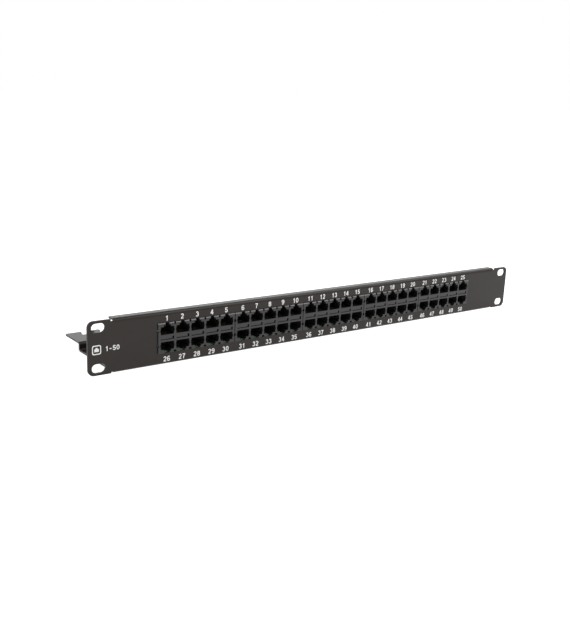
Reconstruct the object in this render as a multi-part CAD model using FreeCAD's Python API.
"""Fifty-port voice patch bay for a 19 inch rack, one unit high.

A folded steel chassis carries five circuit boards. Each board holds one two-by-five block of
modular sockets at the front and two rows of insulation-displacement (punch-down) blocks behind it.
Every socket has four contact wires: a fixed lead and a spring arm that swings when a plug goes in.

Frame: X runs along the width, Y points to the rear, Z points up. Y = 0 is the rear face of the
rack ears, which is the plane that seats on the rack rails; X = 0 and Z = 0 are the panel's centre.
Units are millimetres.
"""

import FreeCAD, Part
import math
import os

V = FreeCAD.Vector

# --- chassis ---------------------------------------------------------------------------------
PANEL_WIDTH = 482.6
PANEL_HEIGHT = 43.0
SHEET = 1.5
EAR_CORNER_RADIUS = 5.0
EAR_WIDTH = 21.4
HOLE_SPACING_X = 465.1
HOLE_SPACING_Z = 31.75
SLOT_LENGTH = 11.2
SLOT_HEIGHT = 7.1
RELIEF_WIDTH = 2.2
TOP_RELIEF_DEPTH = 1.9
LOW_RELIEF_DEPTH = 1.1
TOP_FLANGE_DEPTH = 8.7
TOP_BEND_OUTER = 3.0
TOP_BEND_INNER = 1.5
LOW_BEND_OUTER = 2.0
LOW_BEND_INNER = 0.5
STEP_BEND_OUTER = 2.5
STEP_BEND_INNER = 1.0
STEP_Y = 63.0
SHELF_TOP_Z = -13.6
SHELF_END_Y = 92.6
TIE_SLOTS = 25
TIE_HEAD_WIDTH = 7.9
TIE_END_TAB = 13.8
TIE_UNDERCUT = 1.8
TIE_HEAD_Y = 89.6
TIE_FLOOR_Y = 83.4
TIE_CORNER = 1.2
ARC_PARTS = 4

# --- socket field ----------------------------------------------------------------------------
BLOCKS = 5
COLUMNS = 5
PORT_PITCH = 13.97
BLOCK_PITCH = 72.5
BLOCK_GAP = 0.3
FIELD_SHIFT_X = -1.1
ROW_MIDDLE_Z = 0.25
BLOCK_BOTTOM_Z = -12.0
BLOCK_TOP_Z = 12.8
BLOCK_FRONT_Y = -2.7
BLOCK_REAR_Y = 26.5
WINDOW_GAP = 0.15
WINDOW_NICK = 0.9
STOP_RIDGE = 1.2
SOCKET_WIDTH = 11.9
SOCKET_HEIGHT = 6.5
SOCKET_GROOVE_HEIGHT = 2.6
SOCKET_GROOVE_DEPTH = 0.4
ROW_OFFSET = 6.2
CAVITY_END_Y = 11.5
LATCH_WIDTH = 6.4
LATCH_RISE = 1.5
LATCH_END_Y = 8.0
TONGUE_WIDTH = 3.6
TONGUE_END_Y = 6.0
LOWER_TONGUE_WIDTH = 4.4
TONGUE_ROOF = 0.5
TAB_HEIGHT = 2.5
TAB_SLIT = 0.6
TAB_END_SLIT = 1.5
TAB_SLIT_DEPTH = 2.4
TOP_NICK = 1.7
BOTTOM_NICK = 2.5
SIDE_NICK_HEIGHT = 2.1
SIDE_NICK_DEPTH = 0.8
SIDE_NICK_END_Y = 6.0
NICK_END_Y = 0.1
FACE_ROUND = 0.6
PEG_RADIUS = 1.5
PEG_X = 28.0
PEG_Y = 6.5
PEG_LENGTH = 2.6

# --- contact carrier, leads and spring arms -----------------------------------------------------
CARRIER_START_Y = 14.1
CARRIER_SIDE = 1.2
CARRIER_TOP_Z = 11.2
CARRIER_RECESS = 1.0
WIRE = 0.35
WIRE_PITCH = 1.02
WIRES_PER_PORT = 4
LEAD_GAP = 0.02
ARM_ROOT_Y = 2.5
ARM_ROOT_LIFT = 0.75
ARM_LENGTH = 7.6
ARM_ANGLE = 10.0
ARM_TIP = 1.2
UPPER_TAIL_Y = 23.5
LOWER_TAIL_Y = 19.5
TAIL_END_Z = -15.0

# --- circuit boards ------------------------------------------------------------------------------
BOARD_THICKNESS = 1.6
BOARD_FRONT_Y = 0.4
BOARD_REAR_Y = 77.0
BOARD_GAP = 0.4
PIN_HOLE = 0.9
SCREW_X = 24.0
FRONT_SCREW_Y = 30.75
REAR_SCREW_Y = 71.0
SCREW_CLEAR_RADIUS = 1.7

# --- punch-down blocks -------------------------------------------------------------------------
IDC_SLOTS = 20
IDC_PITCH = PORT_PITCH / 4
IDC_DEPTH = 10.5
IDC_ROWS_Y = {"front": 35.5, "rear": 52.0}
IDC_BASE_TOP_Z = -7.0
IDC_TOP_Z = 3.5
IDC_WALL = 3.75
IDC_SLOT_FLOOR_Z = -4.0
IDC_SLOT_WIDTH = 1.0
IDC_MOUTH_WIDTH = 2.4
IDC_MOUTH_DEPTH = 2.0
FORK_THICKNESS = 0.5
FORK_WIDTH = 2.6
FORK_TOP_Z = 1.0
FORK_SLIT = 0.35
FORK_PIN = 0.7

# --- fasteners ------------------------------------------------------------------------------------
SCREW_RADIUS = 1.45
SCREW_LENGTH = 6.0
HEAD_RADIUS = 2.75
HEAD_HEIGHT = 2.0
HEAD_ROUND = 0.8
RECESS_WIDTH = 0.7
RECESS_SPAN = 3.2
RECESS_DEPTH = 1.1
STANDOFF_ACROSS_FLATS = 5.5
STANDOFF_SPIGOT_RADIUS = 2.1
THREAD_RADIUS = 1.5

HALF_WIDTH = PANEL_WIDTH / 2
HALF_HEIGHT = PANEL_HEIGHT / 2
FLANGE_END_X = HALF_WIDTH - EAR_WIDTH
BLOCK_WIDTH = BLOCK_PITCH - BLOCK_GAP
BOARD_TOP_Z = BLOCK_BOTTOM_Z
BOARD_BOTTOM_Z = BOARD_TOP_Z - BOARD_THICKNESS
FLOOR_TOP_Z = -HALF_HEIGHT + SHEET


def box(x0, x1, y0, y1, z0, z1):
    """An upright box between two corners."""
    return Part.makeBox(x1 - x0, y1 - y0, z1 - z0, V(x0, y0, z0))


def prism(points, direction):
    """A closed outline of points, extruded along a vector."""
    return Part.Face(Part.makePolygon(points + points[:1])).extrude(direction)


def cylinder_z(x, y, z0, z1, radius):
    """An upright cylinder from z0 to z1."""
    return Part.makeCylinder(radius, z1 - z0, V(x, y, z0))


def rectangle_wire(x, y, width, depth, z):
    """A flat rectangular outline centred on x, y."""
    xs = (x - width / 2, x + width / 2)
    ys = (y - depth / 2, y + depth / 2)
    corners = [V(xs[0], ys[0], z), V(xs[1], ys[0], z), V(xs[1], ys[1], z), V(xs[0], ys[1], z)]
    return Part.makePolygon(corners + corners[:1])


def circle_wire(x, y, radius, z):
    """A flat circular outline."""
    return Part.Wire(Part.makeCircle(radius, V(x, y, z)))


def holed_plate(outline, holes, height):
    """A flat plate with holes, extruded upwards."""
    return Part.makeFace([outline] + holes, "Part::FaceMakerBullseye").extrude(V(0, 0, height))


def ribbon(path, x, width, thickness):
    """A bent strip: follows (y, z) points with mitred corners, centred on x."""
    left, right = [], []
    for i, (y, z) in enumerate(path):
        before = path[max(i - 1, 0)]
        after = path[min(i + 1, len(path) - 1)]
        a = math.atan2(z - before[1], y - before[0]) if i else math.atan2(after[1] - z, after[0] - y)
        b = math.atan2(after[1] - z, after[0] - y) if i < len(path) - 1 else a
        turn = math.atan2(math.sin(b - a), math.cos(b - a))
        middle = a + turn / 2
        reach = thickness / 2 / math.cos(turn / 2)
        left.append(V(x - width / 2, y - reach * math.sin(middle), z + reach * math.cos(middle)))
        right.append(V(x - width / 2, y + reach * math.sin(middle), z - reach * math.cos(middle)))
    return prism(left + right[::-1], V(width, 0, 0))


def edges_along(shape, axis, test):
    """The straight edges of a shape that run along an axis and pass a test on their middle."""
    found = []
    for edge in shape.Edges:
        if not isinstance(edge.Curve, Part.Line):
            continue
        run = edge.Vertexes[-1].Point - edge.Vertexes[0].Point
        if run.Length < 1e-6 or abs(abs(run.normalize().dot(axis)) - 1) > 1e-6:
            continue
        if test(edge.BoundBox.Center):
            found.append(edge)
    return found


def block_centres():
    """The X of each socket block's middle; the field stands a little left of the panel's centre."""
    return [FIELD_SHIFT_X + (k - (BLOCKS - 1) / 2) * BLOCK_PITCH for k in range(BLOCKS)]


def column_offsets():
    """The X of each socket column from its block's middle."""
    return [(k - (COLUMNS - 1) / 2) * PORT_PITCH for k in range(COLUMNS)]


def wire_offsets():
    """The X of each contact wire from its socket's middle."""
    return [(k - (WIRES_PER_PORT - 1) / 2) * WIRE_PITCH for k in range(WIRES_PER_PORT)]


def screw_places(x):
    """The (x, y) of the board screws of the block at x, front pair first."""
    return [(x + side * SCREW_X, y) for y in (FRONT_SCREW_Y, REAR_SCREW_Y) for side in (-1, 1)]


def mirror_row(z):
    """The height in the lower row that answers to z in the upper row."""
    return 2 * ROW_MIDDLE_Z - z


# --- chassis ---------------------------------------------------------------------------------

def folded_section():
    """Front sheet, top return flange, floor, step and rear shelf as one bent sheet."""
    front, top, low = -SHEET, HALF_HEIGHT, -HALF_HEIGHT
    flange_y = front + TOP_FLANGE_DEPTH
    outline = [
        (front, top), (flange_y, top), (flange_y, top - SHEET), (0, top - SHEET),
        (0, FLOOR_TOP_Z), (STEP_Y, FLOOR_TOP_Z), (STEP_Y, SHELF_TOP_Z), (SHELF_END_Y, SHELF_TOP_Z),
        (SHELF_END_Y, SHELF_TOP_Z - SHEET), (STEP_Y + SHEET, SHELF_TOP_Z - SHEET),
        (STEP_Y + SHEET, low), (front, low),
    ]
    sheet = prism([V(-FLANGE_END_X, y, z) for y, z in outline], V(2 * FLANGE_END_X, 0, 0))
    bends = [
        ((front, top), TOP_BEND_OUTER), ((front, low), LOW_BEND_OUTER),
        ((0, top - SHEET), TOP_BEND_INNER), ((0, FLOOR_TOP_Z), LOW_BEND_INNER),
        ((STEP_Y, FLOOR_TOP_Z), STEP_BEND_INNER), ((STEP_Y + SHEET, low), STEP_BEND_OUTER),
        ((STEP_Y, SHELF_TOP_Z), STEP_BEND_OUTER),
        ((STEP_Y + SHEET, SHELF_TOP_Z - SHEET), STEP_BEND_INNER),
    ]
    for (y, z), radius in bends:
        at = edges_along(sheet, V(1, 0, 0), lambda c: math.hypot(c.y - y, c.z - z) < 1e-4)
        sheet = sheet.makeFillet(radius, at)
    return sheet


def outline_face(corners, y):
    """An upright face whose corners, given as (x, z, radius) in order round it, are rounded.

    Each corner's arc is several short arcs, so that it stays round however it is meshed.
    """
    edges, ends = [], []
    for i, (x, z, radius) in enumerate(corners):
        corner = V(x, y, z)
        (x0, z0, _), (x1, z1, _) = corners[i - 1], corners[(i + 1) % len(corners)]
        back = (V(x0, y, z0) - corner).normalize()
        ahead = (V(x1, y, z1) - corner).normalize()
        if radius == 0:
            ends.append((corner, corner))
            continue
        centre = corner + (back + ahead) * radius
        steps = [(centre - ahead * (radius * math.cos(t)) - back * (radius * math.sin(t)))
                 for t in (k * math.pi / 4 / ARC_PARTS for k in range(2 * ARC_PARTS + 1))]
        edges += [Part.Arc(*steps[k:k + 3]).toShape() for k in range(0, 2 * ARC_PARTS, 2)]
        ends.append((steps[0], steps[-1]))
    for i, (start, _) in enumerate(ends):
        if (start - ends[i - 1][1]).Length > 1e-6:
            edges.append(Part.LineSegment(ends[i - 1][1], start).toShape())
    return Part.Face(Part.Wire(Part.__sortEdges__(edges)))


def ear(side):
    """One rack ear with rounded outer corners and two open slots."""
    x_in, x_out = side * FLANGE_END_X, side * HALF_WIDTH
    corners = [(x_in, -HALF_HEIGHT, 0), (x_out, -HALF_HEIGHT, EAR_CORNER_RADIUS),
               (x_out, HALF_HEIGHT, EAR_CORNER_RADIUS), (x_in, HALF_HEIGHT, 0)]
    plate = outline_face(corners, -SHEET).extrude(V(0, SHEET, 0))
    for z in (-HOLE_SPACING_Z / 2, HOLE_SPACING_Z / 2):
        plate = plate.cut(slot_cutter(side * HOLE_SPACING_X / 2, z))
    return plate


def slot_cutter(x, z):
    """A round-ended slot through the sheet."""
    half, radius = SLOT_LENGTH / 2, SLOT_HEIGHT / 2
    corners = [(x + sx * half, z + sz * radius, radius) for sx, sz in ((-1, -1), (1, -1), (1, 1), (-1, 1))]
    return outline_face(corners, -2 * SHEET).extrude(V(0, 3 * SHEET, 0))


def relief_cutter(side, up):
    """The bend relief at a flange's end: a narrow square nick, deeper at the top."""
    x0, x1 = sorted((side * FLANGE_END_X, side * (FLANGE_END_X + RELIEF_WIDTH)))
    depth = TOP_RELIEF_DEPTH if up > 0 else LOW_RELIEF_DEPTH
    z0, z1 = sorted((up * (HALF_HEIGHT - depth), up * (HALF_HEIGHT + SHEET)))
    return box(x0, x1, -2 * SHEET, SHEET, z0, z1)


def tie_slot_cutters():
    """T-shaped notches in the shelf's rear edge, which leave T-shaped tabs for cable ties."""
    run = 2 * (FLANGE_END_X - TIE_END_TAB)
    mouth = (run - (TIE_SLOTS - 1) * TIE_HEAD_WIDTH) / TIE_SLOTS
    cutters = []
    for k in range(TIE_SLOTS):
        x0 = -run / 2 + k * (mouth + TIE_HEAD_WIDTH)
        inner = box(x0 - TIE_UNDERCUT, x0 + mouth + TIE_UNDERCUT, TIE_FLOOR_Y, TIE_HEAD_Y,
                    SHELF_TOP_Z - 2 * SHEET, SHELF_TOP_Z + SHEET)
        inner = inner.makeFillet(TIE_CORNER, edges_along(inner, V(0, 0, 1), lambda c: True))
        opening = box(x0, x0 + mouth, TIE_HEAD_Y - TIE_CORNER, SHELF_END_Y + 1,
                      SHELF_TOP_Z - 2 * SHEET, SHELF_TOP_Z + SHEET)
        cutters.append(inner.fuse(opening))
    return cutters


def make_chassis():
    """The whole folded steel sheet."""
    sheet = folded_section().fuse([ear(-1), ear(1)]).removeSplitter()
    half_field = BLOCKS * BLOCK_PITCH / 2
    cutters = [box(FIELD_SHIFT_X - half_field, FIELD_SHIFT_X + half_field, -2 * SHEET, SHEET,
                   BLOCK_BOTTOM_Z - WINDOW_GAP, BLOCK_TOP_Z + WINDOW_GAP)]
    for z in (ROW_MIDDLE_Z - ROW_OFFSET, ROW_MIDDLE_Z + ROW_OFFSET):
        reach = half_field + WINDOW_NICK
        cutters.append(box(FIELD_SHIFT_X - reach, FIELD_SHIFT_X + reach, -2 * SHEET, SHEET,
                           z - SIDE_NICK_HEIGHT / 2, z + SIDE_NICK_HEIGHT / 2))
    cutters += [relief_cutter(side, up) for side in (-1, 1) for up in (-1, 1)]
    cutters += tie_slot_cutters()
    for x in block_centres():
        for k, (sx, sy) in enumerate(screw_places(x)):
            radius = STANDOFF_SPIGOT_RADIUS if k < 2 else THREAD_RADIUS
            cutters.append(cylinder_z(sx, sy, -HALF_HEIGHT - 1, BOARD_BOTTOM_Z + 1, radius))
    sheet = sheet.cut(cutters)
    tips = edges_along(sheet, V(0, 0, 1), lambda c: abs(c.y - SHELF_END_Y) < 1e-4)
    return sheet.makeFillet(TIE_CORNER, tips)


# --- socket blocks -----------------------------------------------------------------------------

def socket_cutters(x):
    """The plug cavities, side grooves, latch steps and slit tab of one column of two sockets."""
    half = SOCKET_HEIGHT / 2
    front = BLOCK_FRONT_Y - 1
    up_low = ROW_MIDDLE_Z + ROW_OFFSET - half
    up_high = ROW_MIDDLE_Z + ROW_OFFSET + half
    step = up_high + LATCH_RISE
    slot_half = WIRES_PER_PORT * WIRE_PITCH / 2 + WIRE
    groove_half = SOCKET_WIDTH / 2 + SOCKET_GROOVE_DEPTH
    groove_low = ROW_MIDDLE_Z + ROW_OFFSET - SOCKET_GROOVE_HEIGHT / 2
    cutters = []
    for lower in (False, True):
        def cut(half_width, y_front, y_end, low, high):
            z0, z1 = sorted((mirror_row(low), mirror_row(high))) if lower else (low, high)
            cutters.append(box(x - half_width, x + half_width, y_front, y_end, z0, z1))

        tongue = (LOWER_TONGUE_WIDTH if lower else TONGUE_WIDTH) / 2
        cut(SOCKET_WIDTH / 2, front, CAVITY_END_Y, up_low, up_high)
        cut(groove_half, front, CAVITY_END_Y, groove_low, groove_low + SOCKET_GROOVE_HEIGHT)
        cut(LATCH_WIDTH / 2, front, LATCH_END_Y, up_high, step)
        cut(tongue, front, TONGUE_END_Y if lower else NICK_END_Y, step, BLOCK_TOP_Z + 1)
        if not lower:
            cut(tongue, front, TONGUE_END_Y, step, BLOCK_TOP_Z - TONGUE_ROOF)
        cut(slot_half, CAVITY_END_Y - 1, CARRIER_START_Y, up_low - 0.05, up_low + 2 * WIRE)
    tab_end = x + SOCKET_WIDTH / 2
    tab_low = ROW_MIDDLE_Z - TAB_HEIGHT / 2
    slit_end_y = BLOCK_FRONT_Y + TAB_SLIT_DEPTH
    cutters.append(box(x - SOCKET_WIDTH / 2, tab_end, front, slit_end_y, tab_low, tab_low + TAB_SLIT))
    cutters.append(box(tab_end - TAB_END_SLIT, tab_end, front, slit_end_y, tab_low, tab_low + TAB_HEIGHT))
    return cutters


def nick_cutters():
    """Small relief nicks between the columns and half nicks on the block's sides."""
    front = BLOCK_FRONT_Y - 1
    cutters = []
    for k in range(COLUMNS - 1):
        x = (k - (COLUMNS - 2) / 2) * PORT_PITCH
        cutters.append(box(x - TOP_NICK / 2, x + TOP_NICK / 2, front, NICK_END_Y,
                           BLOCK_TOP_Z - TOP_NICK, BLOCK_TOP_Z + 1))
        cutters.append(box(x - BOTTOM_NICK / 2, x + BOTTOM_NICK / 2, front, NICK_END_Y,
                           BLOCK_BOTTOM_Z - 1, BLOCK_BOTTOM_Z + TOP_NICK))
    for side in (-1, 1):
        edge = side * BLOCK_WIDTH / 2
        x0, x1 = sorted((edge - side * SIDE_NICK_DEPTH, edge + side))
        for z in (ROW_MIDDLE_Z - ROW_OFFSET, ROW_MIDDLE_Z + ROW_OFFSET):
            cutters.append(box(x0, x1, front, SIDE_NICK_END_Y,
                               z - SIDE_NICK_HEIGHT / 2, z + SIDE_NICK_HEIGHT / 2))
    return cutters


def make_housing():
    """One two-by-five socket housing, centred on X = 0."""
    half = BLOCK_WIDTH / 2
    shell = box(-half, half, BLOCK_FRONT_Y, BLOCK_REAR_Y, BLOCK_BOTTOM_Z, BLOCK_TOP_Z)
    shell = shell.makeFillet(FACE_ROUND, [e for e in shell.Edges
                                          if abs(e.BoundBox.YMax - BLOCK_FRONT_Y) < 1e-4])
    ridge = box(-half, half, WINDOW_GAP, STOP_RIDGE + WINDOW_GAP, BLOCK_TOP_Z, BLOCK_TOP_Z + STOP_RIDGE)
    pegs = [cylinder_z(side * PEG_X, PEG_Y, BLOCK_BOTTOM_Z - PEG_LENGTH, BLOCK_BOTTOM_Z + 1, PEG_RADIUS)
            for side in (-1, 1)]
    inside = half - CARRIER_SIDE + 0.1
    cutters = [box(-inside, inside, CARRIER_START_Y - 0.05, BLOCK_REAR_Y + 1,
                   BLOCK_BOTTOM_Z - 1, CARRIER_TOP_Z + 0.1)]
    for x in column_offsets():
        cutters += socket_cutters(x)
    return shell.cut(cutters + nick_cutters()).fuse([ridge] + pegs).removeSplitter()


def make_carrier(leads):
    """The insert behind the cavities, moulded round the leads, centred on X = 0."""
    half = BLOCK_WIDTH / 2 - CARRIER_SIDE
    body = box(-half, half, CARRIER_START_Y, BLOCK_REAR_Y - 0.1, BLOCK_BOTTOM_Z, CARRIER_TOP_Z)
    recesses = [box(x - SOCKET_WIDTH / 2, x + SOCKET_WIDTH / 2, BLOCK_REAR_Y - CARRIER_RECESS,
                    BLOCK_REAR_Y, BLOCK_BOTTOM_Z - 1, CARRIER_TOP_Z - LATCH_RISE)
                for x in column_offsets()]
    return body.cut(recesses + leads)


def floor_z():
    """The height of the upper sockets' floor, which carries the leads."""
    return ROW_MIDDLE_Z + ROW_OFFSET - SOCKET_HEIGHT / 2


def lead_path(lower):
    """The fixed lead: a hook at the front, a run to the rear and a tail down through the board."""
    level = floor_z() + LEAD_GAP + WIRE / 2
    hook = level + ARM_ROOT_LIFT - WIRE
    tail_y = LOWER_TAIL_Y if lower else UPPER_TAIL_Y
    run = [(ARM_ROOT_Y - WIRE, hook), (ARM_ROOT_Y - 2 * WIRE, (hook + level) / 2),
           (ARM_ROOT_Y - WIRE, level), (tail_y, level)]
    if lower:
        run = [(y, mirror_row(z)) for y, z in run]
    return run + [(tail_y, TAIL_END_Z)]


def arm_path(lower):
    """The spring arm: slopes back and up into the cavity, with a turned-down tip."""
    root = (ARM_ROOT_Y, floor_z() + LEAD_GAP + ARM_ROOT_LIFT)
    slope = math.radians(ARM_ANGLE)
    knee = (root[0] + ARM_LENGTH * math.cos(slope), root[1] + ARM_LENGTH * math.sin(slope))
    tip = (knee[0] + ARM_TIP * math.cos(slope), knee[1] - ARM_TIP * math.sin(slope))
    path = [root, knee, tip]
    if lower:
        path = [(y, mirror_row(z)) for y, z in path]
    return path


def make_wires(path):
    """The strips of one row of five sockets, centred on X = 0."""
    return [ribbon(path, x + dx, WIRE, WIRE) for x in column_offsets() for dx in wire_offsets()]


# --- boards, punch-down blocks and fasteners ---------------------------------------------------

def idc_slots():
    """The X of each wire slot from a punch-down block's middle."""
    return [(k - (IDC_SLOTS - 1) / 2) * IDC_PITCH for k in range(IDC_SLOTS)]


def make_board():
    """One circuit board with its holes, centred on X = 0."""
    half = (BLOCK_PITCH - BOARD_GAP) / 2
    middle_y = (BOARD_FRONT_Y + BOARD_REAR_Y) / 2
    outline = rectangle_wire(0, middle_y, 2 * half, BOARD_REAR_Y - BOARD_FRONT_Y, BOARD_BOTTOM_Z)
    holes = [circle_wire(x, y, SCREW_CLEAR_RADIUS, BOARD_BOTTOM_Z) for x, y in screw_places(0)]
    holes += [circle_wire(side * PEG_X, PEG_Y, PEG_RADIUS + 0.1, BOARD_BOTTOM_Z) for side in (-1, 1)]
    for x in column_offsets():
        for dx in wire_offsets():
            for y in (UPPER_TAIL_Y, LOWER_TAIL_Y):
                holes.append(rectangle_wire(x + dx, y, 2 * WIRE, 2 * WIRE, BOARD_BOTTOM_Z))
    for start in IDC_ROWS_Y.values():
        for x in idc_slots():
            holes.append(rectangle_wire(x, start + IDC_DEPTH / 2, PIN_HOLE, PIN_HOLE, BOARD_BOTTOM_Z))
    return holed_plate(outline, holes, BOARD_THICKNESS)


def comb_wall(start_y):
    """One toothed wall of a punch-down block."""
    half = IDC_SLOTS * IDC_PITCH / 2
    points = [V(-half, start_y, IDC_BASE_TOP_Z), V(-half, start_y, IDC_TOP_Z)]
    for x in idc_slots():
        for dx, z in ((-IDC_MOUTH_WIDTH / 2, IDC_TOP_Z), (-IDC_SLOT_WIDTH / 2, IDC_TOP_Z - IDC_MOUTH_DEPTH),
                      (-IDC_SLOT_WIDTH / 2, IDC_SLOT_FLOOR_Z), (IDC_SLOT_WIDTH / 2, IDC_SLOT_FLOOR_Z),
                      (IDC_SLOT_WIDTH / 2, IDC_TOP_Z - IDC_MOUTH_DEPTH), (IDC_MOUTH_WIDTH / 2, IDC_TOP_Z)):
            points.append(V(x + dx, start_y, z))
    points += [V(half, start_y, IDC_TOP_Z), V(half, start_y, IDC_BASE_TOP_Z)]
    return prism(points, V(0, IDC_WALL, 0))


def make_idc_block(start_y):
    """One punch-down block: a base with pin holes and two toothed walls, centred on X = 0."""
    middle = start_y + IDC_DEPTH / 2
    outline = rectangle_wire(0, middle, IDC_SLOTS * IDC_PITCH, IDC_DEPTH, BOARD_TOP_Z)
    holes = [rectangle_wire(x, middle, PIN_HOLE, PIN_HOLE, BOARD_TOP_Z) for x in idc_slots()]
    base = holed_plate(outline, holes, IDC_BASE_TOP_Z - BOARD_TOP_Z)
    walls = [comb_wall(start_y), comb_wall(start_y + IDC_DEPTH - IDC_WALL)]
    return base.fuse(walls).removeSplitter()


def make_fork(x, middle_y):
    """One punch-down contact: a slit plate with a pin that runs through the board."""
    y = middle_y - FORK_THICKNESS / 2
    wide, pin, slit = FORK_WIDTH / 2, FORK_PIN / 2, FORK_SLIT / 2
    right = [(pin, TAIL_END_Z), (pin, IDC_BASE_TOP_Z), (wide, IDC_BASE_TOP_Z), (wide, FORK_TOP_Z),
             (2.5 * slit, FORK_TOP_Z), (slit, FORK_TOP_Z - 1), (slit, IDC_SLOT_FLOOR_Z)]
    outline = right + [(-dx, z) for dx, z in reversed(right)]
    return prism([V(x + dx, y, z) for dx, z in outline], V(0, FORK_THICKNESS, 0))


def make_screw(x, y):
    """A pan-head screw with a cross recess, standing on the board."""
    z = BOARD_TOP_Z
    head = cylinder_z(x, y, z, z + HEAD_HEIGHT, HEAD_RADIUS)
    rim = [e for e in head.Edges if isinstance(e.Curve, Part.Circle)
           and abs(e.BoundBox.Center.z - z - HEAD_HEIGHT) < 1e-4]
    head = head.makeFillet(HEAD_ROUND, rim)
    arm, half = RECESS_SPAN / 2, RECESS_WIDTH / 2
    floor = z + HEAD_HEIGHT - RECESS_DEPTH
    cross = box(x - arm, x + arm, y - half, y + half, floor, floor + 2).fuse(
        box(x - half, x + half, y - arm, y + arm, floor, floor + 2))
    shank = cylinder_z(x, y, z - SCREW_LENGTH, z, SCREW_RADIUS)
    return head.cut(cross).fuse(shank).removeSplitter()


def make_standoff(x, y):
    """A hexagonal threaded post, pressed into the chassis floor."""
    corner = STANDOFF_ACROSS_FLATS / 2 / math.cos(math.radians(30))
    hexagon = [V(x + corner * math.cos(math.radians(60 * k)), y + corner * math.sin(math.radians(60 * k)),
                 FLOOR_TOP_Z) for k in range(6)]
    post = prism(hexagon, V(0, 0, BOARD_BOTTOM_Z - FLOOR_TOP_Z))
    spigot = cylinder_z(x, y, -HALF_HEIGHT, FLOOR_TOP_Z, STANDOFF_SPIGOT_RADIUS)
    bore = cylinder_z(x, y, -HALF_HEIGHT - 1, BOARD_BOTTOM_Z + 1, THREAD_RADIUS)
    return post.fuse(spigot).cut(bore).removeSplitter()


# --- export ---------------------------------------------------------------------------------------

def moved(shapes, x):
    """Copies of shapes, shifted along X."""
    copies = []
    for shape in shapes:
        copy = shape.copy()
        copy.translate(V(x, 0, 0))
        copies.append(copy)
    return copies


def export(name, shapes):
    """Writes one node from one or more solids."""
    solids = [s for shape in shapes for s in shape.Solids]
    for solid in solids:
        if not solid.isValid() or solid.Volume <= 0:
            raise ValueError(name + " has a bad solid")
    whole = solids[0] if len(solids) == 1 else Part.makeCompound(solids)
    whole.exportStep("parts/" + name + ".step")
    print(name, len(solids), "solids", round(sum(s.Volume for s in solids), 1), "mm3")


def main():
    os.makedirs("parts", exist_ok=True)
    export("steel_chassis", [make_chassis()])
    leads = make_wires(lead_path(False)) + make_wires(lead_path(True))
    housing, carrier, board = make_housing(), make_carrier(leads), make_board()
    upper_arms, lower_arms = make_wires(arm_path(False)), make_wires(arm_path(True))
    idc_blocks = {row: make_idc_block(start) for row, start in IDC_ROWS_Y.items()}
    forks = [make_fork(x, start + IDC_DEPTH / 2) for start in IDC_ROWS_Y.values() for x in idc_slots()]
    for number, x in enumerate(block_centres(), start=1):
        tag = "_" + str(number)
        export("socket_housing" + tag, moved([housing], x))
        export("contact_carrier" + tag, moved([carrier], x))
        export("contact_leads" + tag, moved(leads, x))
        export("upper_contact_springs" + tag, moved(upper_arms, x))
        export("lower_contact_springs" + tag, moved(lower_arms, x))
        export("circuit_board" + tag, moved([board], x))
        export("idc_contacts" + tag, moved(forks, x))
        for row, block in idc_blocks.items():
            export("idc_block_" + row + tag, moved([block], x))
    places = [place for x in block_centres() for place in screw_places(x)]
    export("board_screws", [make_screw(x, y) for x, y in places])
    export("board_standoffs", [make_standoff(x, y) for x, y in places if y == FRONT_SCREW_Y])


main()
